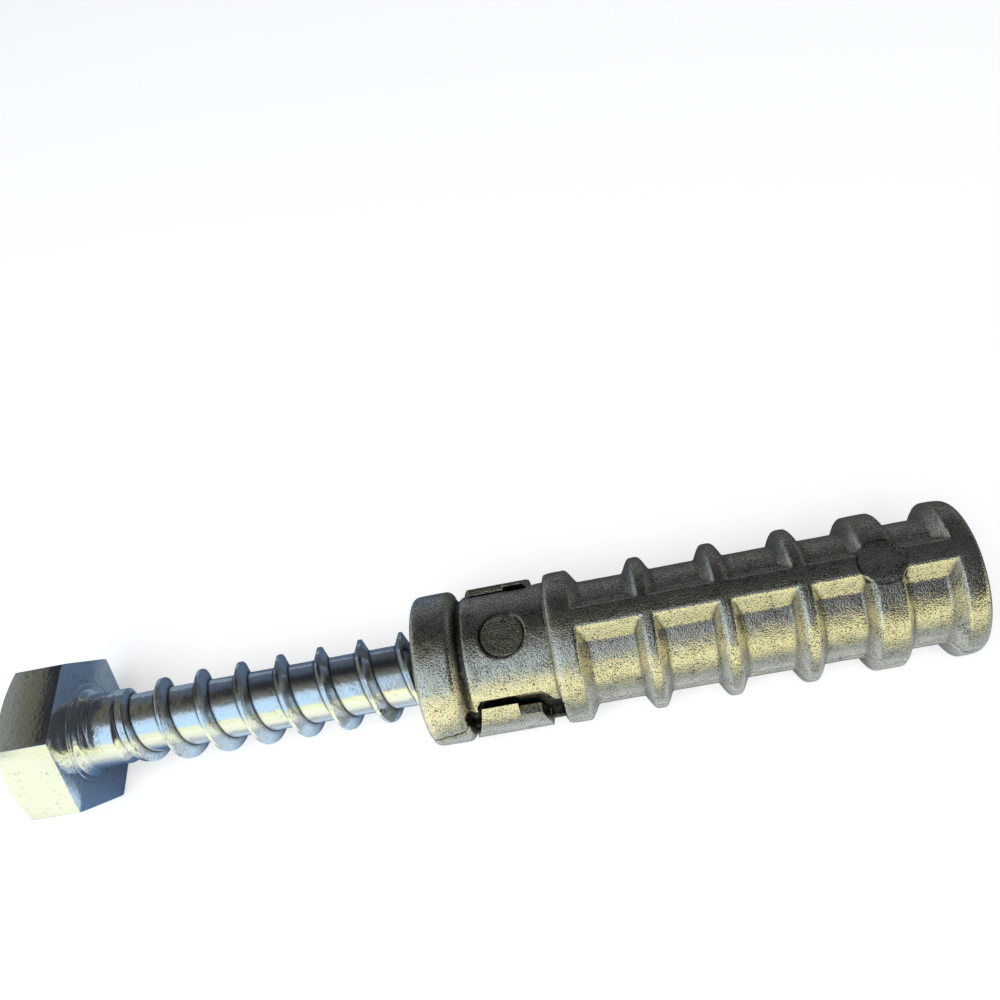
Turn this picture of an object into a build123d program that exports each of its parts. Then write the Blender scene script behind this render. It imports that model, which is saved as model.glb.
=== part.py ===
from build123d import *
import os
from math import ceil, cos, radians, tan

# Lag shield anchor: a die-cast expansion shield in two halves, with a hex lag screw started in it.
# X runs along the axis, from the screw's head to the shield's far end, and Z is up. The origin is
# the middle of the entry collar, and the anchor lies on one flat of the head. All in millimetres.

# Shield: overall form, measured from its mouth
shield_length = 44.45
shield_diameter = 12.7
pocket_depth = 1.3
seam_gap = 0.12
shield_roll_angle = 8.2

# Entry collar, neck and second collar
entry_collar_width = 3.42
neck_depth = 0.7
neck_groove_width = 0.7
neck_groove_depth = 0.3
neck_end = 11.15
second_collar_width = 2.05
second_collar_slope = 0.8

# Expansion ribs between the second collar and the end flange
rib_count = 4
first_rib_distance = 5.72
last_rib_distance = 7.29
rib_crest_width = 1.35
rib_foot_width = 2.35
last_rib_crest_width = 2.3
last_rib_foot_width = 3.6
rib_round = 0.55
end_flange_width = 1.95
end_flange_slope = 1.0
crest_round = 0.35
foot_round = 0.2

# Spine along the crown of each half, flush with the ribs
spine_width = 1.5
spine_flank_angle = 27

# Ears of the lower half, and the side notches of the upper half that clear them
ear_start = 4.8
ear_length = 5.15
ear_height = 3.0
ear_depth = 0.2
ear_tall_length = 2.9
ear_step_height = 0.85
ear_nose_length = 0.5
ear_nose_height = 1.9
ear_shoulder_depth = 2.6
side_floor_depth = 1.4
side_floor_height = 2.9
ear_side_clearance = 0.15
ear_start_clearance = 0.25
ear_end_clearance = 0.85
ear_top_clearance = 0.5
notch_corner = 1.1

# Ejector discs on the crown of the upper half
disc_diameter = 3.7
neck_disc_place = 7.42
neck_disc_sink = 0.3
rib_disc_sink = 0.13

# Bore that guides the screw, with a taper at the far end
bore_clearance = 0.22
bore_lead_in = 0.4
bore_taper_length = 6.2
bore_end_diameter = 4.4

# Hex lag screw, measured from the bearing face under its head
screw_length = 50.8
screw_standoff = 30.35
head_across_flats = 12.5
head_height = 5.0
head_top_diameter = 11.8
head_chamfer_angle = 30
head_fillet = 0.5
shank_diameter = 6.5
shank_length = 3.4
shank_slope = 0.7
thread_diameter = 7.42
root_diameter = 5.32
thread_pitch = 3.6
thread_crest_width = 0.4
thread_flank_angle = 30
thread_start = 2.52
thread_start_angle = 31
thread_rise = 5.0
point_length = 6.5
point_core_length = 5.2
point_tip_diameter = 0.7

shield_radius = shield_diameter / 2
pocket_radius = shield_radius - pocket_depth
neck_radius = shield_radius - neck_depth
ear_radius = shield_radius - ear_depth
side_floor_radius = shield_radius - side_floor_depth
thread_radius = thread_diameter / 2
root_radius = root_diameter / 2
shank_radius = shank_diameter / 2
bore_radius = thread_radius + bore_clearance
second_collar_end = neck_end + second_collar_width
end_flange_start = shield_length - end_flange_width
first_rib = second_collar_end + first_rib_distance
last_rib = shield_length - last_rib_distance
rib_spacing = (last_rib - first_rib) / (rib_count - 1)
reach = shield_diameter
from_base = (Align.CENTER, Align.CENTER, Align.MIN)


def revolved(points, rounds=()):
    """Turn a closed outline of (x, radius) points about the axis, after rounding some corners."""
    outline = make_face(Polyline(*points, close=True))
    for radius, corners in rounds:
        picked = [v for v in outline.vertices()
                  if any(Vector(v.X - x, v.Y - y).length < radius / 10 for x, y in corners)]
        outline = fillet(picked, radius)
    return revolve(outline, Axis.X)


def block(x_range, y_range, z_range):
    """A box given by its limits along each axis."""
    ranges = (x_range, y_range, z_range)
    size = [high - low for low, high in ranges]
    middle = [(high + low) / 2 for low, high in ranges]
    return Pos(*middle) * Box(*size)


def rod(radius, start, length):
    """A cylinder along the axis."""
    return Pos(start, 0, 0) * Rot(0, 90, 0) * Cylinder(radius, length, align=from_base)


def rib_outline(centre, crest_width, foot_width):
    """The four corners of one rib: foot, crest, crest, foot."""
    return [(centre - foot_width / 2, pocket_radius), (centre - crest_width / 2, shield_radius),
            (centre + crest_width / 2, shield_radius), (centre + foot_width / 2, pocket_radius)]


def ribbed_barrel():
    """The outside of the shield: collars, neck, ribs and end flange, all rounded."""
    collars = [(0, shield_radius), (entry_collar_width, shield_radius), (entry_collar_width, neck_radius),
               (neck_end, neck_radius), (neck_end, shield_radius), (second_collar_end, shield_radius)]
    ribs = [rib_outline(first_rib + n * rib_spacing, rib_crest_width, rib_foot_width)
            for n in range(rib_count - 1)]
    ribs.append(rib_outline(last_rib, last_rib_crest_width, last_rib_foot_width))
    flange = [(end_flange_start, shield_radius), (shield_length, shield_radius)]
    slope_feet = [(second_collar_end + second_collar_slope, pocket_radius),
                  (end_flange_start - end_flange_slope, pocket_radius)]
    rib_points = [corner for rib in ribs for corner in rib]
    points = [(0, 0), *collars, slope_feet[0], *rib_points, slope_feet[1], *flange, (shield_length, 0)]
    rib_crests = [p for p in rib_points if p[1] == shield_radius]
    other_crests = [p for p in points if p[1] == shield_radius and p not in rib_crests]
    feet = [p for p in points if p[1] == pocket_radius]
    return revolved(points, [(crest_round, other_crests), (rib_round, rib_crests), (foot_round, feet)])


def spines():
    """The bars along the crown of both halves, flush with the ribs and with sloped flanks."""
    top_half = spine_width / 2
    foot_half = top_half + (shield_radius - root_radius) * tan(radians(spine_flank_angle))
    section = make_face(Polyline((-foot_half, root_radius), (foot_half, root_radius),
                                 (top_half, shield_radius), (-top_half, shield_radius), close=True))
    start = second_collar_end - crest_round
    length = end_flange_start + crest_round - start
    bar = extrude(Plane(origin=(start, 0, 0), x_dir=(0, 1, 0), z_dir=(1, 0, 0)) * section, length)
    bar = bar & rod(shield_radius, start, length)
    return bar + mirror(bar, Plane.XY)


def neck_groove():
    """The shallow groove between the entry collar and the neck."""
    floor = neck_radius - neck_groove_depth
    start, end = entry_collar_width, entry_collar_width + neck_groove_width
    return revolved([(start, floor), (start, neck_radius), (end, neck_radius), (end, floor)])


def guide_bore():
    """The bore: a lead-in at the mouth, a straight run and a taper at the far end."""
    return revolved([(0, 0), (0, bore_radius + bore_lead_in), (bore_lead_in, bore_radius),
                     (shield_length - bore_taper_length, bore_radius),
                     (shield_length, bore_end_diameter / 2), (shield_length, 0)])


def with_disc(body, place, height):
    """Level a round ejector pad on the body's crown."""
    pad = Pos(place, 0, bore_radius) * Cylinder(disc_diameter / 2, height - bore_radius, align=from_base)
    cut = Pos(place, 0, height) * Cylinder(disc_diameter / 2, reach, align=from_base)
    return body + pad - cut


def side_tabs(outline, inner):
    """A tab at each side with an outline of (x, z) points, from Y = inner outwards."""
    side = make_face(Polyline(*outline, close=True))
    tab = extrude(Plane(origin=(0, inner, 0), x_dir=(1, 0, 0), z_dir=(0, -1, 0)) * side, -reach)
    return tab + mirror(tab, Plane.XZ)


def plain_outline(start, end, bottom, top):
    """The four corners of a plain tab."""
    return [(start, bottom), (start, top), (end, top), (end, bottom)]


def ear_outline():
    """One ear from the side: tall by the entry collar, then lower, with its far corner cut back."""
    step, end = ear_start + ear_tall_length, ear_start + ear_length
    low_top = ear_height - ear_step_height
    return [(ear_start, -ear_shoulder_depth), (ear_start, ear_height), (step, ear_height), (step, low_top),
            (end - ear_nose_length, low_top), (end, low_top - ear_nose_height), (end, -ear_shoulder_depth)]


def notch_outline():
    """The notch that clears an ear, with its far upper corner cut across."""
    start = ear_start - ear_start_clearance
    end = ear_start + ear_length + ear_end_clearance
    top = ear_height + ear_top_clearance
    return [(start, 0), (start, top), (end - notch_corner, top), (end, top - notch_corner), (end, 0)]


def upper_half(shell):
    """The half with the discs, cut back at both sides of the neck round the other half's ears."""
    half = shell & block((0, shield_length), (-reach, reach), (seam_gap / 2, reach))
    half = with_disc(half, neck_disc_place, neck_radius - neck_disc_sink)
    half = with_disc(half, last_rib, shield_radius - rib_disc_sink)
    sides = side_tabs(plain_outline(entry_collar_width, neck_end, 0, side_floor_height), 0)
    notches = side_tabs(notch_outline(), 0)
    return half - ((sides + notches) - rod(side_floor_radius, 0, shield_length))


def lower_half(shell):
    """The half with a shoulder at each side of the neck, which rises past the seam into an ear."""
    half = shell & block((0, shield_length), (-reach, reach), (-reach, -seam_gap / 2))
    inner = side_floor_radius + ear_side_clearance
    shoulders = side_tabs(plain_outline(entry_collar_width, neck_end, -ear_shoulder_depth, -seam_gap / 2),
                          inner)
    ears = side_tabs(ear_outline(), inner)
    return half + ((shoulders + ears) & rod(ear_radius, 0, shield_length))


def hex_head():
    """The hexagon head, its outer edge turned to a cone."""
    drop = (head_across_flats / cos(radians(30)) - head_top_diameter) / 2 * tan(radians(head_chamfer_angle))
    corner_radius = head_across_flats / 2 / cos(radians(30))
    hexagon = Plane.YZ * RegularPolygon(head_across_flats / 2, 6, major_radius=False)
    turned = revolved([(0, 0), (0, corner_radius), (drop - head_height, corner_radius),
                       (-head_height, head_top_diameter / 2), (-head_height, 0)])
    return extrude(hexagon, -head_height) & turned


def thread_turn(number, share):
    """One turn of the thread's ridge, or a share of one, sunk a little into the core."""
    extra = thread_crest_width / 4
    foot, crest = -extra, thread_radius - root_radius + extra
    slope = tan(radians(thread_flank_angle))
    crest_half = thread_crest_width / 2 - extra * slope
    foot_half = crest_half + (crest - foot) * slope
    path = Helix(thread_pitch, share * thread_pitch, root_radius)
    place = Plane(origin=path @ 0, x_dir=(1, 0, 0), z_dir=path % 0)
    section = place * make_face(Polyline((foot, -foot_half), (crest, -crest_half), (crest, crest_half),
                                         (foot, foot_half), close=True))
    ridge = Rot(thread_start_angle, 0, 0) * Rot(0, 90, 0) * sweep(section, path=path, is_frenet=True)
    return Pos(thread_start + number * thread_pitch, 0, 0) * ridge


def thread():
    """The thread, turn by turn, trimmed to rise out of the shank and to fade along the point."""
    envelope = revolved([(0, 0), (0, shank_radius), (shank_length, shank_radius),
                         (shank_length + thread_rise, thread_radius),
                         (screw_length - point_length, thread_radius),
                         (screw_length, point_tip_diameter / 2), (screw_length, 0)])
    count = (screw_length - thread_start) / thread_pitch
    turns = [thread_turn(n, min(1, count - n)) & envelope for n in range(ceil(count))]
    return [turn for turn in turns if turn.volume > 0]


def lag_screw():
    """The lag screw: hex head, short plain shank, coarse thread and cone point."""
    collar_radius = shank_radius + 2 * head_fillet
    core = revolved([(-head_fillet, 0), (-head_fillet, collar_radius), (0, collar_radius), (0, shank_radius),
                     (shank_length, shank_radius), (shank_length + shank_slope, root_radius),
                     (screw_length - point_core_length, root_radius),
                     (screw_length, point_tip_diameter / 2), (screw_length, 0)],
                    [(head_fillet, [(0, shank_radius)])])
    return hex_head() + core + thread()


shell = ribbed_barrel() + spines() - neck_groove() - guide_bore()
mouth = Pos(-entry_collar_width / 2, 0, 0)
placed = {
    "shield_upper_half": mouth * Rot(shield_roll_angle, 0, 0) * upper_half(shell),
    "shield_lower_half": mouth * Rot(shield_roll_angle, 0, 0) * lower_half(shell),
    "lag_screw": mouth * Pos(-screw_standoff, 0, 0) * lag_screw(),
}

os.makedirs("parts", exist_ok=True)
for name, solid in placed.items():
    export_step(solid, f"parts/{name}.step")
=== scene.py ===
import bpy, bmesh, math
from mathutils import Matrix, Vector


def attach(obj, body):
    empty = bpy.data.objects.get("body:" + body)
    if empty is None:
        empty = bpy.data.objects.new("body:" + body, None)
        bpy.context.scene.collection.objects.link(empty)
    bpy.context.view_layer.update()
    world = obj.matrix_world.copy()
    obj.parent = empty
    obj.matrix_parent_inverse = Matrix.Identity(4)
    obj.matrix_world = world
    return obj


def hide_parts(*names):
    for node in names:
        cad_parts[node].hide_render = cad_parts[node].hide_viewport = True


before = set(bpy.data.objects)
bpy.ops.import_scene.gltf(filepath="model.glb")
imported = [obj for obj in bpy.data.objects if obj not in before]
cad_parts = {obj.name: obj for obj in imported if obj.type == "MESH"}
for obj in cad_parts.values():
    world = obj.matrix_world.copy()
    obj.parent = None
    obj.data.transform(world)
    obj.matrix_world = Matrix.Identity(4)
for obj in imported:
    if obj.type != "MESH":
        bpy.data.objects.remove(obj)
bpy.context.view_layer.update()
print("frame loaded:", sorted(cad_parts))

mm = 0.001   # every size below is in millimetres along the anchor, counted from the shield's mouth

anchor = {
    "mouthX": -1.71,        # where the mouth lies in the frame
    "rollAngle": 8.2,       # how far the shield is rolled from upright, in degrees
    "screwStandoff": 30.35,     # from under the screw's head to the mouth
    "weldDistance": 0.004,      # points of one piece that lie closer than this are joined
    "sharpAngle": 50,           # edges sharper than this are shaded as edges, in degrees
    "cavitySteps": 9,           # how far round a point its surroundings are averaged, in grid steps
}

# node arithmetic: one value in a tree, so that formulas read as arithmetic


class Wire:
    def __init__(self, tree, socket):
        self.tree, self.socket = tree, socket

    def make(self, operation, *values):
        node = self.tree.nodes.new("ShaderNodeMath")
        node.operation = operation
        for slot, value in enumerate(values):
            if isinstance(value, Wire):
                self.tree.links.new(value.socket, node.inputs[slot])
            else:
                node.inputs[slot].default_value = value
        return Wire(self.tree, node.outputs[0])

    def __add__(self, other): return self.make("ADD", self, other)
    def __radd__(self, other): return self.make("ADD", other, self)
    def __sub__(self, other): return self.make("SUBTRACT", self, other)
    def __rsub__(self, other): return self.make("SUBTRACT", other, self)
    def __mul__(self, other): return self.make("MULTIPLY", self, other)
    def __truediv__(self, other): return self.make("DIVIDE", self, other)
    def __rtruediv__(self, other): return self.make("DIVIDE", other, self)
    def __neg__(self): return self.make("MULTIPLY", self, -1.0)
    def __abs__(self): return self.make("ABSOLUTE", self)
    def __gt__(self, other): return self.make("GREATER_THAN", self, other)
    def __lt__(self, other): return self.make("LESS_THAN", self, other)
    def __mod__(self, other): return self.make("FLOORED_MODULO", self, other)
    def sin(self): return self.make("SINE", self)
    def cos(self): return self.make("COSINE", self)
    def sqrt(self): return self.make("SQRT", self)
    def exp(self): return self.make("EXPONENT", self)
    def round(self): return self.make("ROUND", self)
    def least(self, other): return self.make("MINIMUM", self, other)
    def most(self, other): return self.make("MAXIMUM", self, other)
    def softLeast(self, other, blend): return self.make("SMOOTH_MIN", self, other, blend)
    def softMost(self, other, blend): return self.make("SMOOTH_MAX", self, other, blend)
    def between(self, low, high): return self.most(low).least(high)
    def mixTo(self, other, share): return self + (other - self) * share
    def hill(self, spread): return (-(self * self / spread)).exp()      # 1 at 0, less to both sides


def startTree(name, sizes):
    # a Geometry Nodes tree with one named input for each size
    tree = bpy.data.node_groups.new(name, "GeometryNodeTree")
    tree.interface.new_socket(name="Geometry", in_out="OUTPUT", socket_type="NodeSocketGeometry")
    for key, value in sizes.items():
        socket = tree.interface.new_socket(name=key, in_out="INPUT", socket_type="NodeSocketFloat")
        socket.default_value = value
    entry = tree.nodes.new("NodeGroupInput")
    size = {key: Wire(tree, entry.outputs[key]) for key in sizes}
    return tree, size


def gridOf(tree, columns, rows):
    # a flat grid whose column and row numbers can be read from its points
    grid = tree.nodes.new("GeometryNodeMeshGrid")
    for socket, value in zip(grid.inputs, (columns - 1, rows - 1, columns, rows)):
        socket.default_value = value
    place = tree.nodes.new("GeometryNodeInputPosition")
    parts = tree.nodes.new("ShaderNodeSeparateXYZ")
    tree.links.new(place.outputs[0], parts.inputs[0])
    column = (Wire(tree, parts.outputs[0]) + (columns - 1) / 2).round()
    row = (Wire(tree, parts.outputs[1]) + (rows - 1) / 2).round()
    return grid.outputs[0], column, row


def combine(tree, x, y, z):
    node = tree.nodes.new("ShaderNodeCombineXYZ")
    for slot, value in enumerate((x, y, z)):
        if isinstance(value, Wire):
            tree.links.new(value.socket, node.inputs[slot])
        else:
            node.inputs[slot].default_value = value
    return node.outputs[0]


def cavity(tree, wire):
    # how far a point lies below the average of the points round it: more than 0 in a corner,
    # less than 0 on an edge
    blur = tree.nodes.new("GeometryNodeBlurAttribute")
    blur.data_type = "FLOAT"
    blur.inputs["Iterations"].default_value = anchor["cavitySteps"]
    values = [socket for socket in blur.inputs if socket.name == "Value" and socket.enabled]
    tree.links.new(wire.socket, values[0])
    return Wire(tree, [socket for socket in blur.outputs if socket.enabled][0]) - wire


def unevenness(tree, vector, scale, detail=2.0):
    # noise between about -1 and 1 at a place given in millimetres
    noise = tree.nodes.new("ShaderNodeTexNoise")
    noise.noise_dimensions = "3D"
    tree.links.new(vector, noise.inputs["Vector"])
    noise.inputs["Scale"].default_value = 1.0 / scale
    noise.inputs["Detail"].default_value = detail
    return (Wire(tree, noise.outputs[0]) - 0.5) * 2.6


def finishTree(tree, mesh, place, attributes, material):
    # move the grid's points to their places, weld the joins, and give the material
    move = tree.nodes.new("GeometryNodeSetPosition")
    scale = tree.nodes.new("ShaderNodeVectorMath")
    scale.operation = "SCALE"
    scale.inputs["Scale"].default_value = mm
    tree.links.new(place, scale.inputs[0])
    last = mesh
    for name, wire in attributes.items():
        store = tree.nodes.new("GeometryNodeStoreNamedAttribute")
        store.data_type, store.domain = "FLOAT", "POINT"
        store.inputs["Name"].default_value = name
        tree.links.new(last, store.inputs["Geometry"])
        tree.links.new(wire.socket, store.inputs["Value"])
        last = store.outputs[0]
    tree.links.new(last, move.inputs["Geometry"])
    tree.links.new(scale.outputs[0], move.inputs["Position"])
    merge = tree.nodes.new("GeometryNodeMergeByDistance")
    merge.inputs["Distance"].default_value = anchor["weldDistance"] * mm
    tree.links.new(move.outputs[0], merge.inputs["Geometry"])
    smooth = tree.nodes.new("GeometryNodeSetShadeSmooth")
    tree.links.new(merge.outputs[0], smooth.inputs["Geometry"])
    realize = tree.nodes.new("GeometryNodeRealizeInstances")
    tree.links.new(smooth.outputs[0], realize.inputs[0])
    paint = tree.nodes.new("GeometryNodeSetMaterial")
    paint.inputs["Material"].default_value = material
    tree.links.new(realize.outputs[0], paint.inputs["Geometry"])
    out = tree.nodes.new("NodeGroupOutput")
    tree.links.new(paint.outputs[0], out.inputs[0])


def meshFromTree(name, tree, sizes):
    # run the tree on an empty object and keep the result as a plain mesh
    holder = bpy.data.objects.new(name + "Holder", bpy.data.meshes.new(name + "Holder"))
    bpy.context.collection.objects.link(holder)
    modifier = holder.modifiers.new("build", "NODES")
    modifier.node_group = tree
    for item in tree.interface.items_tree:
        if item.in_out == "INPUT" and item.name in sizes:
            modifier[item.identifier] = float(sizes[item.name])
    graph = bpy.context.evaluated_depsgraph_get()
    mesh = bpy.data.meshes.new_from_object(holder.evaluated_get(graph), depsgraph=graph)
    holder.modifiers.remove(modifier)
    bpy.data.objects.remove(holder)
    return mesh


def beveledMesh(name, shape, material, width, angle):
    # make a mesh of the shape and round its edges that are sharper than the angle
    bmesh.ops.recalc_face_normals(shape, faces=shape.faces)
    mesh = bpy.data.meshes.new(name)
    shape.to_mesh(mesh)
    shape.free()
    mesh.materials.append(material)
    holder = bpy.data.objects.new(name + "Holder", mesh)
    bpy.context.collection.objects.link(holder)
    bevel = holder.modifiers.new("bevel", "BEVEL")
    bevel.width, bevel.segments = width * mm, 3
    bevel.limit_method, bevel.angle_limit = "ANGLE", math.radians(angle)
    graph = bpy.context.evaluated_depsgraph_get()
    rounded = bpy.data.meshes.new_from_object(holder.evaluated_get(graph), depsgraph=graph)
    bpy.data.objects.remove(holder)
    return rounded


def pieceFrom(name, meshes, turn, shift, material, body, node):
    # join meshes, place them in the anchor's frame and hand the piece over
    shape = bmesh.new()
    for mesh in meshes:
        shape.from_mesh(mesh)
    shape.transform(Matrix.Translation(Vector(shift) * mm) @ Matrix.Rotation(math.radians(turn), 4, "X"))
    bmesh.ops.recalc_face_normals(shape, faces=shape.faces)
    mesh = bpy.data.meshes.new(name)
    shape.to_mesh(mesh)
    shape.free()
    mesh.materials.append(material)
    mesh.polygons.foreach_set("use_smooth", [True] * len(mesh.polygons))
    mesh.set_sharp_from_angle(angle=math.radians(anchor["sharpAngle"]))
    piece = bpy.data.objects.new(name, mesh)
    bpy.context.collection.objects.link(piece)
    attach(piece, body)
    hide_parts(node)
    print("piece ready:", name, len(mesh.polygons), "faces")


# shader groups

def shaderGroup(name, inputs, outputs):
    tree = bpy.data.node_groups.new(name, "ShaderNodeTree")
    for key, value in inputs.items():
        socket = tree.interface.new_socket(name=key, in_out="INPUT", socket_type="NodeSocketFloat")
        socket.default_value = value
    for key, kind in outputs.items():
        tree.interface.new_socket(name=key, in_out="OUTPUT", socket_type=kind)
    entry, out = tree.nodes.new("NodeGroupInput"), tree.nodes.new("NodeGroupOutput")
    return tree, {key: Wire(tree, entry.outputs[key]) for key in inputs}, out


def shaderNoise(tree, scale, detail=3.0, roughness=0.55, distortion=0.0):
    # noise on Object coordinates; scale is the size of its grains in millimetres
    coordinates = tree.nodes.new("ShaderNodeTexCoord")
    noise = tree.nodes.new("ShaderNodeTexNoise")
    noise.inputs["Detail"].default_value = detail
    noise.inputs["Roughness"].default_value = roughness
    noise.inputs["Distortion"].default_value = distortion
    tree.links.new(coordinates.outputs["Object"], noise.inputs["Vector"])
    if isinstance(scale, Wire):
        tree.links.new((1.0 / (scale * mm)).socket, noise.inputs["Scale"])
    else:
        noise.inputs["Scale"].default_value = 1.0 / (scale * mm)
    return Wire(tree, noise.outputs[0])


def makeGrainGroup():
    # rough metal skin: a fine grain on coarser patches, as a bump and as values for colour and gloss
    tree, size, out = shaderGroup("metalGrain", {"Grain Size": 0.2, "Patch Size": 1.6, "Depth": 0.01},
                                  {"Normal": "NodeSocketVector", "Grain": "NodeSocketFloat",
                                   "Patch": "NodeSocketFloat"})
    fine = shaderNoise(tree, size["Grain Size"], 1.2, 0.5)
    patch = shaderNoise(tree, size["Patch Size"], 2.0, 0.5)
    bump = tree.nodes.new("ShaderNodeBump")
    bump.inputs["Strength"].default_value = 1.0
    tree.links.new((size["Depth"] * mm).socket, bump.inputs["Distance"])
    tree.links.new((fine + patch * 1.4).socket, bump.inputs["Height"])
    tree.links.new(bump.outputs[0], out.inputs["Normal"])
    tree.links.new(fine.socket, out.inputs["Grain"])
    tree.links.new(patch.socket, out.inputs["Patch"])
    return tree


def rampNode(tree, source, stops):
    ramp = tree.nodes.new("ShaderNodeValToRGB")
    while len(ramp.color_ramp.elements) < len(stops):
        ramp.color_ramp.elements.new(0.5)
    for element, (place, colour) in zip(ramp.color_ramp.elements, stops):
        element.position, element.color = place, (*colour, 1.0)
    tree.links.new(source.socket, ramp.inputs[0])
    return ramp.outputs[0]


def makeShadeAndDirtGroup():
    # painted shade and dirt in the corners and wear on the edges, from the cavity stored on the piece,
    # in millimetres
    tree, size, out = shaderGroup("cornerShadeAndDirt", {"ShadeAndDirt Depth": 0.04, "Wear Depth": 0.04},
                                  {"ShadeAndDirt": "NodeSocketFloat", "Wear": "NodeSocketFloat"})
    stored = tree.nodes.new("ShaderNodeAttribute")
    stored.attribute_name = "cavity"
    depth = Wire(tree, stored.outputs["Fac"])
    breakUp = shaderNoise(tree, 0.35, 3.0, 0.6) * 1.2 + 0.4
    shadeAndDirt = (depth / size["ShadeAndDirt Depth"] * breakUp).between(0.0, 1.0)
    wear = (-depth / size["Wear Depth"] * breakUp - 0.3).between(0.0, 1.0)
    tree.links.new(shadeAndDirt.socket, out.inputs["ShadeAndDirt"])
    tree.links.new(wear.socket, out.inputs["Wear"])
    return tree


def blend(tree, share, first, second):
    # mix two colours, each a socket or a plain colour
    mix = tree.nodes.new("ShaderNodeMix")
    mix.data_type = "RGBA"
    tree.links.new(share.socket, mix.inputs[0])
    for socket, colour in ((mix.inputs[6], first), (mix.inputs[7], second)):
        if isinstance(colour, tuple):
            socket.default_value = (*colour, 1.0)
        else:
            tree.links.new(colour, socket)
    return mix.outputs[2]


grainGroup, shadeAndDirtGroup = makeGrainGroup(), makeShadeAndDirtGroup()


def metalMaterial(name, look):
    material = bpy.data.materials.new(name)
    material.use_nodes = True
    tree = material.node_tree
    shader = tree.nodes["Principled BSDF"]
    shader.inputs["Metallic"].default_value = 1.0
    grain = tree.nodes.new("ShaderNodeGroup")
    grain.node_tree = grainGroup
    grain.inputs["Grain Size"].default_value = look["grainSize"]
    grain.inputs["Patch Size"].default_value = look["patchSize"]
    grain.inputs["Depth"].default_value = look["grainDepth"]
    corner = tree.nodes.new("ShaderNodeGroup")
    corner.node_tree = shadeAndDirtGroup
    corner.inputs["ShadeAndDirt Depth"].default_value = look["shadeAndDirtDepth"]
    corner.inputs["Wear Depth"].default_value = look["wearDepth"]
    fine, patch = Wire(tree, grain.outputs["Grain"]), Wire(tree, grain.outputs["Patch"])
    shadeAndDirt, wear = Wire(tree, corner.outputs["ShadeAndDirt"]), Wire(tree, corner.outputs["Wear"])
    colour = rampNode(tree, fine + (patch - 0.5) * look["patchShare"],
                      [(look["pitFrom"], look["darkColour"]), (look["pitTo"], look["lightColour"])])
    colour = blend(tree, wear * look["wearShare"], colour, look["wearColour"])
    # painted shade and dirt: corners and recesses are darkened towards a near-black colour
    colour = blend(tree, shadeAndDirt * look["shadeAndDirtShare"], colour, look["shadeAndDirtColour"])
    tree.links.new(colour, shader.inputs["Base Color"])
    rough = (look["roughness"] + (patch - 0.5) * look["glossSpread"] + shadeAndDirt * 0.3).between(0.05, 1.0)
    tree.links.new(rough.socket, shader.inputs["Roughness"])
    tree.links.new(grain.outputs["Normal"], shader.inputs["Normal"])
    return material


castZinc = metalMaterial("castZinc", {
    "grainSize": 0.12, "patchSize": 1.2, "grainDepth": 0.046, "patchShare": 0.4,
    "pitFrom": 0.27, "pitTo": 0.47, "darkColour": (0.15, 0.14, 0.12), "lightColour": (0.95, 0.87, 0.72),
    "roughness": 0.14, "glossSpread": 0.15,
    "shadeAndDirtDepth": 0.2, "shadeAndDirtShare": 0.94, "shadeAndDirtColour": (0.022, 0.022, 0.022),
    "wearDepth": 0.12, "wearShare": 0.2, "wearColour": (0.80, 0.79, 0.72),
})
zincPlate = metalMaterial("zincPlate", {
    "grainSize": 0.35, "patchSize": 2.2, "grainDepth": 0.014, "patchShare": 0.6,
    "pitFrom": 0.22, "pitTo": 0.40, "darkColour": (0.62, 0.64, 0.66), "lightColour": (0.91, 0.93, 0.95),
    "roughness": 0.15, "glossSpread": 0.12,
    "shadeAndDirtDepth": 0.08, "shadeAndDirtShare": 0.85, "shadeAndDirtColour": (0.04, 0.04, 0.045),
    "wearDepth": 0.12, "wearShare": 0.05, "wearColour": (0.94, 0.95, 0.94),
})
print("materials ready")

# shield halves

shield = {
    "length": 44.45, "radius": 6.35, "pocketDepth": 1.3,
    "collarWidth": 3.42, "collarEnd": 13.2, "collarSlope": 0.8,
    # the neck between the collars, and how the entry collar falls to its groove
    "neckDepth": 0.7, "neckEnd": 11.15, "cornerLength": 0.16,
    "entryLead": 0.35, "entrySlope": 0.6, "entryRound": 0.45, "entryFoot": 0.25,
    "grooveWidth": 0.7, "grooveDepth": 0.3, "grooveFloor": 0.1, "grooveSlope": 0.15,
    "grooveRound": 0.2, "grooveFoot": 0.15, "grooveDark": 0.7,
    "shoulderShare": 0.45, "shoulderLength": 0.22,
    # ribs, end flange and spine
    "firstRib": 18.92, "ribSpacing": 6.08, "ribCount": 4,
    "ribCrest": 1.0, "ribFoot": 2.35, "lastCrest": 2.3, "lastFoot": 3.6,
    "flangeStart": 42.6, "flangeSlope": 0.9, "flangeRound": 0.2, "endFall": 0.16, "fallDelay": 0.3,
    "edgeRound": 0.55, "ribRound": 0.9, "footRound": 0.3, "crownRound": 0.12,
    "spineWidth": 1.5, "spineFlank": 31.0, "spineShare": 0.6,
    # the seam between the halves: its gap, and how it wanders and climbs over the entry collar
    "seamGap": 0.12, "seamWear": 0.1, "seamWander": 0.16, "wanderSize": 0.9,
    "seamClimb": 0.62, "seamClimbSlope": 0.27, "seamJag": 0.2, "jagSize": 0.4, "seamReturn": 0.3,
    # the last size sets how strongly the painted shade and grime are stored
    "climbGap": 0.08, "seamSoot": 0.16, "sootMargin": 0.4, "shadeAndGrimeDepth": 0.2,
    # the bore, and the waves of the cast skin
    "boreRadius": 3.93, "leadIn": 0.4, "taperLength": 6.2, "taperEnd": 2.2,
    "screwPitch": 3.6, "boreThread": 0.22, "boreThreadStart": 1.5,
    "castWave": 0.025, "waveSize": 2.2,
}
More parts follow.
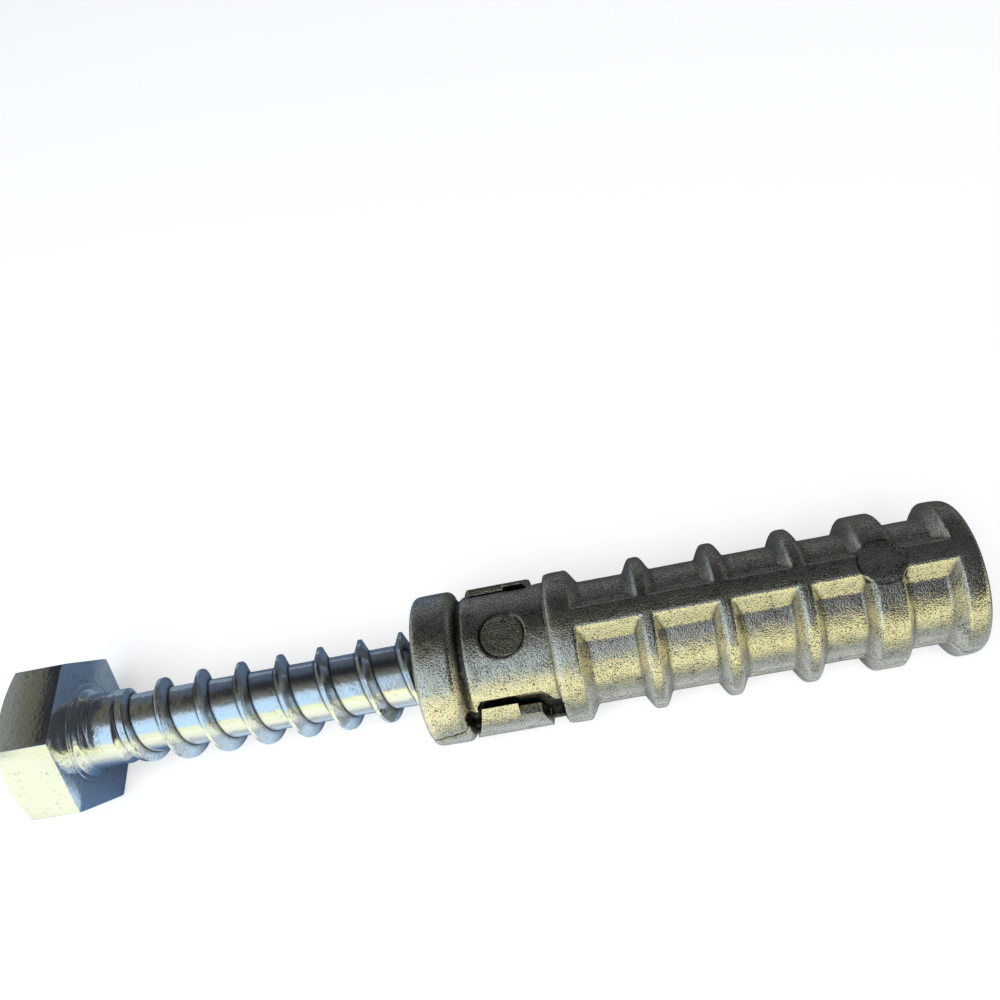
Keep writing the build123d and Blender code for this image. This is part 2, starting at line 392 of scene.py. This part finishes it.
sides = {
    # the ears, which are tall at one end and low at the other
    "earStart": 4.8, "earLength": 5.15, "earHeight": 3.0, "earFoot": -1.4, "earDepth": 0.2,
    "tallLength": 2.9, "stepHeight": 0.85, "stepWidth": 0.05, "farLow": 2.6, "farTall": 3.3,
    "noseLength": 0.5, "noseHeight": 1.9, "slantFrom": 1.65, "slant": 0.69,
    "startFlare": 0.28, "flareLength": 1.5, "earRound": 0.12,
    # the notches round them, and the shoulders that carry them
    "floorDepth": 1.4, "floorHeight": 2.4, "startClearance": 0.25, "endClearance": 0.85,
    "topClearance": 0.35, "notchCorner": 1.1, "startCorner": 0.4, "backGap": 0.02,
    "lipHeight": 2.85, "lipSpread": 0.005, "lipHighlightShare": 0.6,
    # how far the painted shade reaches from the notch walls and beside the ears, and how soon it fades
    # towards the bottom
    "shoulderDepth": 2.6, "wallSlope": 9.0, "wallRound": 0.08, "shadeAndGrimeReach": 0.15, "shadeAndGrimeFade": 0.4,
}
discs = {
    "discRadius": 1.85, "neckDiscX": 7.42, "neckDiscSink": 0.3, "neckDiscRim": -0.05,
    "ribDiscX": 37.16, "ribDiscSink": 0.13, "ribDiscRim": 0.04,
    # the rim round a disc, how unevenly it stands out, and how dark its ring of painted shade with grime
    # is
    "rimSlope": 0.1, "rimSpread": 0.012, "rimShade": 1.4,
    "rimPatch": 1.1, "rimMean": 0.9, "rimLeast": 0.2, "rimMost": 1.5,
}
columnStep, outerRows, innerRows = 0.09, 150, 34


def trapezoid(distance, crestHalf, footHalf, height, crestRound, footRound):
    # a ridge with a flat crest, sloping flanks and rounded corners, by the distance from its middle
    ramp = (footHalf - distance) / (footHalf - crestHalf) * height
    return ramp.softLeast(height, crestRound).softMost(0.0, footRound)


def shieldTree(name, isUpper, material):
    sizes = {**shield, **sides, **discs}
    tree, size = startTree(name, sizes)
    columns = int(shield["length"] / columnStep) + 3
    rows = outerRows + innerRows + 1
    mesh, column, row = gridOf(tree, columns, rows)
    step = size["length"] / (columns - 3)
    rawX = (column - 1.0) * step
    x = rawX.between(0.0, size["length"])
    isEnd = (abs(rawX - size["length"] / 2) - size["length"] / 2 + step * 0.5) > 0.0
    loop = row % float(outerRows + innerRows)
    isInner = loop > outerRows - 0.5
    outerShare = loop / (outerRows - 1)
    innerShare = 1.0 - (loop - outerRows) / (innerRows - 1)
    share = outerShare.mixTo(innerShare, isInner)
    angle = (share - 0.5) * math.pi          # from the crown, -90 to 90 degrees
    fromSeam = (0.5 - abs(share - 0.5)) * math.pi * size["radius"]
    # on the near side the seam climbs over the entry collar
    jag = unevenness(tree, combine(tree, x, 0.0, 0.0), shield["jagSize"], 4.0) * size["seamJag"]
    climb = size["seamClimb"] + x * size["seamClimbSlope"] + jag
    isNear = (angle < 0.0) if isUpper else (angle > 0.0)
    onCollar = ((size["collarWidth"] + size["seamReturn"] - x) / size["seamReturn"]).between(0.0, 1.0)
    climb = climb * onCollar * isNear / size["radius"]
    angle = angle * (1.0 + climb * ((-2 if isUpper else 2) / math.pi))
    side = abs(angle)
    radius, height = size["radius"], size["pocketDepth"]
    base = radius - height

    # ribs by rule: the nearest rib's number sets its middle and its width
    number = ((x - size["firstRib"]) / size["ribSpacing"]).round().between(0.0, size["ribCount"] - 1.0)
    isLast = number > size["ribCount"] - 1.5
    fromRib = abs(x - size["firstRib"] - number * size["ribSpacing"])
    ribs = trapezoid(fromRib, size["ribCrest"].mixTo(size["lastCrest"], isLast) / 2,
                     size["ribFoot"].mixTo(size["lastFoot"], isLast) / 2, height,
                     size["ribRound"], size["footRound"])
    collarSlope = trapezoid(x - size["collarEnd"], 0.0, size["collarSlope"], height,
                            size["edgeRound"], size["footRound"])
    flange = trapezoid(size["flangeStart"] - x, 0.0, size["flangeSlope"], height,
                       size["flangeRound"], size["footRound"])
    barrel = base + ribs.softMost(collarSlope, size["footRound"]).softMost(flange, size["footRound"])

    # spine: a bar with flat flanks along the crown
    slope = math.tan(math.radians(shield["spineFlank"]))
    spine = (size["spineWidth"] / 2 + radius * slope) / (side.sin() + side.cos() * slope)
    barrel = barrel.softMost(spine.least(radius), size["footRound"] * size["spineShare"])
    barrel = barrel.softLeast(radius, size["crownRound"])

    # neck between the two collars, with a groove beside the entry collar
    collar = trapezoid(x - size["collarWidth"] + size["entryLead"], 0.0, size["entrySlope"],
                       size["neckDepth"], size["entryRound"], size["entryFoot"])
    groove = trapezoid(abs(x - size["collarWidth"] - size["grooveWidth"] / 2), size["grooveFloor"],
                       size["grooveWidth"] / 2 + size["grooveSlope"], size["grooveDepth"],
                       size["grooveRound"], size["grooveFoot"])
    neck = radius - size["neckDepth"] + collar - groove
    wall = ((x - size["neckEnd"]) / size["cornerLength"] + 0.5).between(0.0, 1.0)
    outer = neck.mixTo(barrel, wall)
    fromWall = abs(x - size["neckEnd"]) / size["shoulderLength"]
    outer = outer - size["edgeRound"] * size["shoulderShare"] * (-fromWall).exp() * wall
    fromMouth, fromEnd = x / size["cornerLength"], (size["length"] - x) / size["cornerLength"]
    outer = outer - size["edgeRound"] * ((-fromMouth).exp() + (-fromEnd).exp())
    fallLength = size["length"] - size["flangeStart"] - size["fallDelay"]
    fall = ((x - size["flangeStart"] - size["fallDelay"]) / fallLength).between(0.0, 1.0)
    outer = outer - fall * fall * size["endFall"]

    neckZ = (radius - size["neckDepth"]) * side.cos()
    if isUpper:
        # side notches that clear the other half's ears, deepest round the ears
        plain = (neckZ - size["floorHeight"]).most(size["collarWidth"] - x).most(x - size["neckEnd"])
        top = size["earHeight"] + size["topClearance"]
        end = size["earStart"] + size["earLength"] + size["endClearance"]
        start = size["earStart"] - size["startClearance"]
        corner = (x - end + neckZ - top + size["notchCorner"]).most(
            start - x + neckZ - top + size["startCorner"]) * 0.7071     # cut at 45 degrees
        notch = (neckZ - top).most(start - x).most(x - end).most(corner)
        away = plain.least(notch).most(0.0)
        floor = radius - size["floorDepth"] + away * size["wallSlope"]
        outer = outer.softLeast(floor, size["wallRound"])
        # painted shade fills the notch near its walls; along the lip's height it is held back, which
        # paints a lighter highlight line there
        lipHighlight = (neckZ - size["lipHeight"]).hill(size["lipSpread"])       # a brighter line along it
        shadeAndGrime = (1.0 - away / size["shadeAndGrimeReach"]).between(0.0, 1.0) * (1.0 - lipHighlight * size["lipHighlightShare"])
        # round ejector discs, level with a plane across the crown
        neckLevel = radius - size["neckDepth"] - size["neckDiscSink"]
        ribLevel = radius - size["ribDiscSink"]
        for place, level, rim in ((size["neckDiscX"], neckLevel, size["neckDiscRim"]),
                                  (size["ribDiscX"], ribLevel, size["ribDiscRim"])):
            flat = level / side.cos().most(0.2)     # never a division by 0 at the seam
            across = flat * angle.sin()
            away = ((x - place) * (x - place) + across * across).sqrt()
            inside = ((size["discRadius"] - away) / size["rimSlope"] + 0.5).between(0.0, 1.0)
            uneven = unevenness(tree, combine(tree, x, across, 0.0), discs["rimPatch"])
            uneven = (uneven + size["rimMean"]).between(size["rimLeast"], size["rimMost"])
            edge = (away - size["discRadius"]).hill(size["rimSpread"]) * uneven
            outer = outer.mixTo(flat, inside) + edge * rim
            # a dark ring of painted shade with grime round each disc
            shadeAndGrime = shadeAndGrime.most((edge * size["rimShade"]).least(1.0))
    else:
        # shoulders at the seam that carry the ears
        end = size["earStart"] + size["earLength"]
        beside = (size["earStart"] - x).most(x - end).most(0.0)
        low = (neckZ - size["shoulderDepth"]).most(0.0)
        shoulder = radius - size["earDepth"] - beside.most(low) * size["wallSlope"]
        outer = outer.softMost(shoulder, size["wallRound"])
        inNeck = (x > size["collarWidth"]) * (x < size["neckEnd"])
        # darker beside the ears near the seam, in the neck: painted shade with grime, fading towards the
        # bottom
        shadeAndGrime = (beside / size["shadeAndGrimeReach"]).between(0.0, 1.0)
        shadeAndGrime = shadeAndGrime * (1.0 - low / size["shadeAndGrimeFade"]).between(0.0, 1.0) * inNeck
    # darker in the groove, on the half of the neck nearer the mouth
    inGroove = (groove / size["grooveDepth"] * size["grooveDark"]).between(0.0, 1.0)
    shadeAndGrime = shadeAndGrime.most(inGroove * (x < size["neckEnd"] / 2))
    seam = (-(fromSeam / size["seamSoot"])).exp()
    shadeAndGrime = shadeAndGrime.most(seam * (x < size["collarWidth"] - size["sootMargin"]))
    outer = outer.least(radius)

    # bore with a lead-in, a taper at the far end and a shallow screw thread
    leadIn = (size["leadIn"] - x).most(0.0)
    taper = (x - size["length"] + size["taperLength"]).most(0.0) / size["taperLength"]
    turns = x / size["screwPitch"] - angle / (2 * math.pi)
    thread = (turns * (2 * math.pi)).cos().most(0.0) * size["boreThread"]
    bore = size["boreRadius"] + leadIn - taper * (size["boreRadius"] - size["taperEnd"])
    bore = bore + thread * (x > size["boreThreadStart"])

    surface = outer.mixTo(bore, isInner)
    middle = (outer + bore) / 2
    along = combine(tree, x, surface * angle.sin(), surface * angle.cos())
    wave = unevenness(tree, along, shield["waveSize"]) * size["castWave"]
    surface = surface + (wave - seam * size["seamWear"] - size["castWave"]) * (1.0 - isInner)
    surface = surface.mixTo(middle, isEnd)      # the two end walls
    crack = unevenness(tree, combine(tree, x, 0.0, 0.0), shield["wanderSize"], 5.0)
    crack = (crack + 0.5).between(0.0, 1.0) * size["seamWander"]
    seamLift = size["seamGap"] / 2 + (crack if isUpper else -crack)
    y = surface * angle.sin()
    seamLift = seamLift + (climb > 0.0) * size["climbGap"]
    z = (surface * angle.cos()).most(seamLift + abs(y) * (climb if isUpper else -climb))
    # the stored value is the cavity plus painted shade in the notches, round the discs and beside the
    # ears, with grime, the groove's darkening and the dark seam line
    stored = (cavity(tree, outer) + shadeAndGrime * size["shadeAndGrimeDepth"]) * (1.0 - isInner)
    finishTree(tree, mesh, combine(tree, x, y, z), {"cavity": stored}, material)
    return tree


def earTop(x, isNear):
    # height of an ear along its length: the near one is tall before its step, the far one beyond it
    end = sides["earStart"] + sides["earLength"]
    step = sides["earStart"] + sides["tallLength"]
    low = sides["earHeight"] - sides["stepHeight"]
    nose = max(0.0, (x - end + sides["noseLength"]) / sides["noseLength"]) * sides["noseHeight"]
    if isNear:
        return sides["earHeight"] if x <= step else low - nose
    return sides["farLow"] if x <= step else sides["farTall"] - nose


def earMesh(material, isNear):
    # one ear: an upright tab with a plane inner face and a round outer face, from an outline in X and Z
    shape = bmesh.new()
    outerRadius = shield["radius"] - sides["earDepth"]
    innerY = shield["radius"] - sides["floorDepth"] + sides["backGap"]
    start, end = sides["earStart"], sides["earStart"] + sides["earLength"]
    step, beyond = start + sides["tallLength"], start + sides["tallLength"] + sides["stepWidth"]
    levels, columns = 10, 15
    stations = [start + (step - start) * n / (columns - 1) for n in range(columns)]
    stations += [beyond + (end - beyond) * n / (columns - 1) for n in range(columns)]
    grid = {}
    for column, x in enumerate(stations):
        top = earTop(x, isNear)
        for level in range(levels):
            z = sides["earFoot"] + (top - sides["earFoot"]) * level / (levels - 1)
            outerY = math.sqrt(outerRadius ** 2 - z ** 2)
            if isNear and x <= step and z > sides["slantFrom"]:
                outerY = (math.sqrt(outerRadius ** 2 - sides["slantFrom"] ** 2)
                          - (z - sides["slantFrom"]) * sides["slant"])
            flare = sides["startFlare"] * max(0.0, sides["earHeight"] - z)
            flare *= max(0.0, 1 - (x - start) / sides["flareLength"])
            for face, y in (("in", innerY), ("out", outerY)):
                grid[column, level, face] = shape.verts.new(((x - flare) * mm, y * mm, z * mm))
    for column in range(len(stations) - 1):
        for level in range(levels - 1):
            for face in ("in", "out"):
                shape.faces.new([grid[column, level, face], grid[column + 1, level, face],
                                 grid[column + 1, level + 1, face], grid[column, level + 1, face]])
        for level in (0, levels - 1):
            shape.faces.new([grid[column, level, "in"], grid[column + 1, level, "in"],
                             grid[column + 1, level, "out"], grid[column, level, "out"]])
    for column in (0, len(stations) - 1):
        for level in range(levels - 1):
            shape.faces.new([grid[column, level, "in"], grid[column, level + 1, "in"],
                             grid[column, level + 1, "out"], grid[column, level, "out"]])
    return beveledMesh("ear", shape, material, sides["earRound"], 40)


def mirrored(mesh):
    copy = mesh.copy()
    copy.transform(Matrix.Scale(-1, 4, (0, 1, 0)))
    copy.flip_normals()
    return copy


shieldSizes = {**shield, **sides, **discs}
upperMesh = meshFromTree("upperHalf", shieldTree("shieldUpperRule", True, castZinc), shieldSizes)
lowerMesh = meshFromTree("lowerHalf", shieldTree("shieldLowerRule", False, castZinc), shieldSizes)
lowerMesh.transform(Matrix.Rotation(math.pi, 4, "X"))
nearEar, farEar = mirrored(earMesh(castZinc, True)), earMesh(castZinc, False)
mouth = (anchor["mouthX"], 0, 0)
pieceFrom("upperHalfCasting", [upperMesh], anchor["rollAngle"], mouth, castZinc, "upper_half",
          "shield_upper_half")
pieceFrom("lowerHalfCasting", [lowerMesh, nearEar, farEar], anchor["rollAngle"], mouth, castZinc,
          "lower_half", "shield_lower_half")

# lag screw

screw = {
    "length": 50.8, "pitch": 3.6, "threadRadius": 3.71, "rootRadius": 2.66, "crestWidth": 0.2667,
    "flankAngle": 26.93, "threadStart": 2.52, "crestAngle": 149.0, "rise": 5.0,
    "shankRadius": 3.25, "shankLength": 3.4, "shankSlope": 0.7,
    "fillet": 0.42, "filletSteep": 1.3, "filletRound": 0.1,
    "pointLength": 6.5, "coreLength": 5.2, "tipRadius": 0.35,
    # traces of its making: two fine lines round the shank, and the chewed first turn of the thread
    "dieLine": 0.05, "firstLine": 1.0, "secondLine": 1.28, "lineSpread": 0.006,
    "chewedPlace": 4.4, "chewedDepth": 0.035, "chewedSpread": 0.8, "chewedSize": 0.5,
    # the cast waves, and from where the thread's corners get painted shade and dirt
    "waveDepth": 0.012, "waveSize": 1.6, "shadeAndDirtFrom": 0.7,
}
head = {
    "acrossFlats": 12.5, "height": 5.0, "topRadius": 5.9, "chamferAngle": 30.0, "cornerCut": 0.04,
    "edgeRound": 0.16, "ringRadius": 4.25, "ringDepth": 0.04,
}
rowsPerTurn, roundSteps = 54, 72
headDepth = 0.59    # how far the shank reaches into the head


def screwTree(material):
    # the rows of the grid run along the helix, so the crest is one clean line
    tree, size = startTree("lagThreadRule", screw)
    step = screw["pitch"] / rowsPerTurn
    rows = int((screw["length"] + headDepth) / step) + 2 * rowsPerTurn + 8
    mesh, column, row = gridOf(tree, rows, roundSteps + 1)
    turn = row / float(roundSteps)
    rowStep = size["pitch"] / rowsPerTurn
    rawX = -headDepth + (turn - 1.0) * size["pitch"] + (column - 3.0) * rowStep
    x = rawX.between(-headDepth, size["length"])
    margin = 0.001
    closed = ((rawX < -headDepth - margin) + (rawX > size["length"] + margin)).between(0.0, 1.0)
    # how far this row is from the crest, along the axis; the rows are in step with the thread
    crestX = size["threadStart"] + size["pitch"] * (size["crestAngle"] / 360.0)
    fromCrest = (-headDepth - size["pitch"] + (column - 3.0) * rowStep - crestX) / size["pitch"]
    fromCrest = abs(fromCrest - fromCrest.round()) * size["pitch"]
    depth = size["threadRadius"] - size["rootRadius"]
    slope = math.tan(math.radians(screw["flankAngle"]))
    ridge = (depth - (fromCrest - size["crestWidth"] / 2) / slope).least(depth).most(0.0)
    rise = ((x - size["shankLength"]) / size["rise"]).between(0.0, 1.0)
    pointShare = ((size["length"] - x) / size["pointLength"]).between(0.0, 1.0)
    envelope = (size["shankRadius"].mixTo(size["threadRadius"], rise)).least(
        size["tipRadius"].mixTo(size["threadRadius"], pointShare))
    fillet = size["fillet"]
    filletRise = ((fillet - x).least(fillet) * size["filletSteep"]).softMost(0.0, size["filletRound"])
    shankEnd = ((x - size["shankLength"]) / size["shankSlope"]).between(0.0, 1.0)
    coreShare = ((size["length"] - x) / size["coreLength"]).between(0.0, 1.0)
    core = (size["shankRadius"] + filletRise).mixTo(size["rootRadius"], shankEnd)
    # the point's taper holds only beyond the middle of the screw
    taper = size["tipRadius"].mixTo(size["rootRadius"], coreShare)
    core = core.least(taper + (x < size["length"] / 2) * 10.0)
    for place in (size["firstLine"], size["secondLine"]):
        core = core - size["dieLine"] * (x - place).hill(size["lineSpread"])
    surface = core.most((size["rootRadius"] + ridge).least(envelope))
    angle = turn * (2 * math.pi)
    place = combine(tree, x, surface * angle.sin(), surface * angle.cos())
    wave = unevenness(tree, place, screw["waveSize"]) * size["waveDepth"] - size["waveDepth"]
    chewed = (x - size["chewedPlace"]).hill(size["chewedSpread"])
    chewed = chewed * (unevenness(tree, place, screw["chewedSize"]) - 1.0) * size["chewedDepth"]
    surface = (surface + wave + chewed) * (1.0 - closed)
    place = combine(tree, x, -(surface * angle.sin()), surface * angle.cos())
    # painted shade and dirt in the corners of the thread, kept off the shank right under the head
    shadeAndDirt = cavity(tree, surface) * (x > size["shadeAndDirtFrom"])
    finishTree(tree, mesh, place, {"cavity": shadeAndDirt}, material)
    return tree


def headMesh(material):
    # the hexagon, one ring of points after another from the middle of its top to under the head
    shape = bmesh.new()
    flat, top = head["acrossFlats"] / 2, head["topRadius"]
    slope = math.tan(math.radians(head["chamferAngle"]))
    steps = 96
    rings = [("top", 0.35), ("top", 0.7), ("top", 1.0), ("side", 0.0), ("side", 0.5), ("side", 1.0),
             ("under", 0.8), ("ring", 0.1), ("ring", 0.05), ("ring", 0.0), ("ring", -0.05),
             ("ring", -0.1), ("ring", -1.5)]
    lines = []
    for kind, share in rings:
        line = []
        for n in range(steps):
            angle = 2 * math.pi * n / steps
            reach = flat / math.cos((angle + math.pi / 6) % (math.pi / 3) - math.pi / 6)
            reach = min(reach, flat / math.cos(math.pi / 6) - head["cornerCut"])
            if kind == "top":
                radius, x = top * share, -head["height"]
            elif kind == "side":
                edge = -head["height"] + (reach - top) * slope
                radius, x = reach, edge * (1 - share)
            elif kind == "under":
                radius, x = reach * share, 0.0
            else:
                radius, x = head["ringRadius"] + share, 0.0 if share else -head["ringDepth"]
            place = (x, radius * math.sin(angle), radius * math.cos(angle))
            line.append(shape.verts.new([value * mm for value in place]))
        lines.append(line)
    for before, after in zip(lines, lines[1:]):
        for n in range(steps):
            following = (n + 1) % steps
            shape.faces.new([before[n], before[following], after[following], after[n]])
    shape.faces.new(lines[0])
    shape.faces.new(lines[-1])
    return beveledMesh("head", shape, material, head["edgeRound"], 25)


threadMesh = meshFromTree("lagThread", screwTree(zincPlate), screw)
underHead = (anchor["mouthX"] - anchor["screwStandoff"], 0, 0)
pieceFrom("plateLagScrew", [threadMesh, headMesh(zincPlate)], 0, underHead, zincPlate,
          "screw", "lag_screw")

# floor, light and camera

stage = {
    "floorZ": -6.36, "floorSize": 4000.0, "floorColour": (0.86, 0.86, 0.86), "floorGlow": 0.5,
    "backdrop": (0.84, 0.86, 0.88),
    "lampPlace": (-60, -250, 480), "lampSize": 420, "lampPower": 1.9,
    # cards that lie under the anchor and show only in the metal, as painted reflections of the floor
    # with the anchor's
    # shadow painted dark: where each begins and ends along X, and its colours by the distance from the
    # anchor's axis, from the front (-Y) to the back; they also glow a little
    "cardFront": -400.0, "cardBack": 300.0, "cardReach": 100.0, "cardGlow": 0.35,
    "cards": {
        "headCard": (-400, -27, [
            (-30, (1.0, 1.0, 0.74)), (-15, (0.82, 0.84, 0.70)), (-9, (0.42, 0.47, 0.52)),
            (-6, (0.11, 0.18, 0.31)), (0, (0.08, 0.12, 0.18)), (4, (0.22, 0.29, 0.37))]),
        "screwCard": (-27, -3, [
            (-30, (1.0, 1.0, 0.74)), (-15, (1.0, 1.0, 0.80)), (-8, (0.46, 0.47, 0.48)),
            (-4, (0.52, 0.66, 0.78)), (-1, (0.10, 0.14, 0.21))]),
        "shieldCard": (-3, 400, [
            (-46, (0.86, 0.86, 0.55)), (-33, (0.76, 0.76, 0.49)), (-20, (0.23, 0.25, 0.24)),
            (-12, (0.27, 0.31, 0.34)), (-8, (0.58, 0.65, 0.71)), (-2, (0.075, 0.082, 0.09))]),
    },
}
tent = {
    "radius": 3500.0,
    # colours of its bands by the angle from straight up towards the front (-Y), in degrees
    "headBands": [
        (-180, (0.4, 0.5, 0.6)), (-85, (0.10, 0.13, 0.18)), (-55, (0.11, 0.12, 0.11)),
        (-38, (0.135, 0.13, 0.095)), (-8, (0.125, 0.12, 0.09)), (-1, (0.11, 0.115, 0.10)),
        (13, (0.24, 0.27, 0.28)), (22, (0.56, 0.72, 0.88)), (42, (0.60, 0.86, 1.12)),
        (68, (0.62, 0.86, 1.04)), (74, (0.98, 1.02, 0.72)), (110, (0.98, 1.02, 0.72)),
        (180, (0.60, 0.80, 1.0))],
    "screwBands": [
        (-180, (0.4, 0.5, 0.6)), (-85, (0.10, 0.13, 0.18)), (-55, (0.065, 0.085, 0.12)),
        (-38, (0.020, 0.023, 0.029)), (-20, (0.023, 0.026, 0.030)), (-4, (0.10, 0.105, 0.08)),
        (13, (0.20, 0.22, 0.22)), (24, (0.56, 0.72, 0.88)), (42, (0.60, 0.86, 1.12)),
        (68, (0.62, 0.86, 1.04)), (74, (0.98, 1.02, 0.68)), (110, (0.98, 1.02, 0.68)),
        (180, (0.60, 0.80, 1.0))],
    "shieldBands": [
        (-180, (0.4, 0.5, 0.6)), (-85, (0.085, 0.092, 0.10)), (-55, (0.055, 0.058, 0.064)),
        (-38, (0.016, 0.018, 0.022)), (-20, (0.022, 0.024, 0.027)), (-4, (0.08, 0.085, 0.072)),
        (13, (0.17, 0.18, 0.18)), (24, (0.39, 0.44, 0.49)), (42, (0.39, 0.45, 0.52)),
        (69, (0.44, 0.48, 0.50)), (76, (1.14, 1.14, 0.66)), (110, (1.14, 1.14, 0.66)),
        (180, (0.60, 0.80, 1.0))],
    # where along X the head's bands pass into the screw's, and those into the shield's
    "headToScrew": (-0.48, -0.42), "screwToShield": (-0.285, -0.235),
    # and the colour beyond the screw's head (-X) and beyond the shield's end (+X)
    "headSide": {"colour": (0.37, 0.42, 0.42), "from": 0.57, "to": 0.85, "low": -1.0},
    "farSide": {"colour": (0.045, 0.05, 0.058), "from": -0.1, "to": 0.36, "low": 0.12},
    "lowFade": 0.15,
}
view = {
    "place": (14.572, -36.864, 70.700), "forward": (-0.09243, 0.59961, -0.79494), "roll": -18.14,
    "focal": 33.67, "sensorWidth": 36.0, "nearest": 1.0, "farthest": 10000.0,
}


def makeFloor():
    bpy.ops.mesh.primitive_plane_add(size=stage["floorSize"] * mm, location=(0, 0, stage["floorZ"] * mm))
    floor = bpy.context.object
    floor.name = "paleFloor"
    material = bpy.data.materials.new("paleFloor")
    material.use_nodes = True
    shader = material.node_tree.nodes["Principled BSDF"]
    shader.inputs["Base Color"].default_value = (*stage["floorColour"], 1)
    shader.inputs["Roughness"].default_value = 0.9
    shader.inputs["Specular IOR Level"].default_value = 0.1
    path = material.node_tree.nodes.new("ShaderNodeLightPath")
    seen = [Wire(material.node_tree, path.outputs["Is " + kind + " Ray"])
            for kind in ("Camera", "Glossy", "Transmission")]
    glow = seen[0].most(seen[1]).most(seen[2]) * stage["floorGlow"]
    shader.inputs["Emission Color"].default_value = (1, 1, 1, 1)
    material.node_tree.links.new(glow.socket, shader.inputs["Emission Strength"])
    floor.data.materials.append(material)


def makeLamp():
    # a soft lamp from the front, for the floor and the shadow; the metal mirrors the tent instead
    lamp = bpy.data.lights.new("floorLamp", "AREA")
    lamp.shape = "RECTANGLE"
    lamp.size = lamp.size_y = stage["lampSize"] * mm
    lamp.energy = stage["lampPower"]
    holder = bpy.data.objects.new("floorLamp", lamp)
    bpy.context.collection.objects.link(holder)
    holder.location = Vector(stage["lampPlace"]) * mm
    holder.rotation_mode = "QUATERNION"
    holder.rotation_quaternion = (-Vector(stage["lampPlace"])).to_track_quat("-Z", "Y")
    holder.visible_camera = holder.visible_glossy = False


def makeShadowReflectionCard(name, left, right, bands):
    # a card that lies on the floor and shows only in the metal: a painted reflection of the floor, with
    # the anchor's shadow painted into it, that also glows a little
    card = bpy.data.meshes.new(name)
    front, back, low = stage["cardFront"], stage["cardBack"], stage["floorZ"] + 0.05
    corners = [(left, front, low), (right, front, low), (right, back, low), (left, back, low)]
    card.from_pydata([tuple(value * mm for value in corner) for corner in corners], [], [(0, 1, 2, 3)])
    material = bpy.data.materials.new(name)
    material.use_nodes = True
    tree = material.node_tree
    place = tree.nodes.new("ShaderNodeTexCoord")
    parts = tree.nodes.new("ShaderNodeSeparateXYZ")
    tree.links.new(place.outputs["Object"], parts.inputs[0])
    share = Wire(tree, parts.outputs[1]) / (stage["cardReach"] * mm) + 0.5
    colour = rampNode(tree, share, [(0.5 + y / stage["cardReach"], tone) for y, tone in bands])
    shader = tree.nodes["Principled BSDF"]
    tree.links.new(colour, shader.inputs["Base Color"])
    tree.links.new(colour, shader.inputs["Emission Color"])
    shader.inputs["Emission Strength"].default_value = stage["cardGlow"]
    shader.inputs["Roughness"].default_value = 1.0
    card.materials.append(material)
    holder = bpy.data.objects.new(name, card)
    bpy.context.collection.objects.link(holder)
    holder.visible_camera = holder.visible_diffuse = holder.visible_shadow = False


def makeCamera():
    camera = bpy.data.objects.new("camera", bpy.data.cameras.new("camera"))
    bpy.context.collection.objects.link(camera)
    camera.data.lens, camera.data.sensor_width = view["focal"], view["sensorWidth"]
    camera.data.clip_start, camera.data.clip_end = view["nearest"] * mm, view["farthest"] * mm
    aim = Vector(view["forward"]).to_track_quat("-Z", "Y")
    camera.rotation_mode = "QUATERNION"
    roll = Matrix.Rotation(math.radians(view["roll"]), 4, "Z").to_quaternion()
    camera.rotation_quaternion = aim @ roll
    camera.location = Vector(view["place"]) * mm
    bpy.context.scene.camera = camera


def makeTent():
    # a round light tent that the lens looks through: its bands light the scene and show in the metal
    bpy.ops.mesh.primitive_uv_sphere_add(segments=48, ring_count=24, radius=tent["radius"] * mm)
    shell = bpy.context.object
    shell.name = "lightTent"
    material = bpy.data.materials.new("lightTent")
    material.use_nodes = True
    tree = material.node_tree
    tree.nodes.remove(tree.nodes["Principled BSDF"])
    direction = tree.nodes.new("ShaderNodeTexCoord")
    parts = tree.nodes.new("ShaderNodeSeparateXYZ")
    tree.links.new(direction.outputs["Object"], parts.inputs[0])
    along, back, up = [Wire(tree, parts.outputs[axis]) / (tent["radius"] * mm) for axis in range(3)]
    turn = back.make("ARCTAN2", -back, up) / (2 * math.pi) + 0.5
    bands = {key: rampNode(tree, turn, [(0.5 + angle / 360, tone) for angle, tone in tent[key]])
             for key in ("headBands", "screwBands", "shieldBands")}
    colour = bands["shieldBands"]
    for key, (start, end) in (("screwBands", tent["screwToShield"]), ("headBands", tent["headToScrew"])):
        share = ((along - start) / (end - start)).between(0.0, 1.0)
        colour = blend(tree, share, bands[key], colour)
    for share, side in ((-along, tent["headSide"]), (along, tent["farSide"])):
        share = ((share - side["from"]) / (side["to"] - side["from"])).between(0.0, 1.0)
        high = ((up - side["low"]) / tent["lowFade"]).between(0.0, 1.0)
        colour = blend(tree, share * high, colour, side["colour"])
    light = tree.nodes.new("ShaderNodeEmission")
    tree.links.new(colour, light.inputs["Color"])
    tree.links.new(light.outputs[0], tree.nodes["Material Output"].inputs["Surface"])
    material.cycles.emission_sampling = "NONE"
    shell.data.materials.append(material)
    shell.visible_camera = False


def makeBackdrop():
    world = bpy.data.worlds.new("backdrop")
    world.use_nodes = True
    world.node_tree.nodes["Background"].inputs["Color"].default_value = (*stage["backdrop"], 1)
    bpy.context.scene.world = world


makeFloor()
makeLamp()
for name, (left, right, bands) in stage["cards"].items():
    makeShadowReflectionCard(name, left, right, bands)
makeTent()
makeBackdrop()
makeCamera()
print("floor, light and camera ready")
bpy.context.scene.view_settings.view_transform = "Standard"
